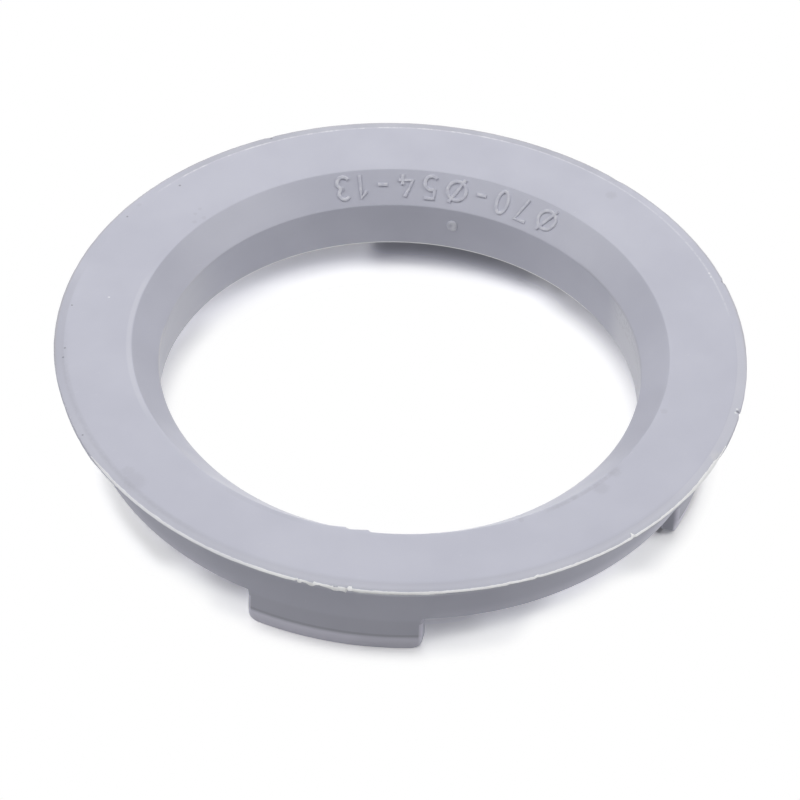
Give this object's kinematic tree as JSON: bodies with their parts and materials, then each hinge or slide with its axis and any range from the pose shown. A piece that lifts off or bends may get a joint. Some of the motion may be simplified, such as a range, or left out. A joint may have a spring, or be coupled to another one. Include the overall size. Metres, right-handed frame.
{
  "type": "hub centric ring",
  "caption": "Flanged plastic ring that fills the gap between a wheel's centre bore and a smaller hub, with a coned mouth and snap-in tabs below.",
  "frame": {"origin": "on the bore's axis, level with the feet that the ring stands on", "axes": "+Z along the bore's axis, up through the coned mouth; the gaps between the tabs lie on X and Y, and the tabs on the diagonals"},
  "size_m": [0.0776, 0.0776, 0.013],
  "materials": {
    "ring_plastic": "satin moulded, light lavender grey"
  },
  "bodies": {
    "root": {"hub_ring": "ring_plastic"}
  },
  "joints": []
}
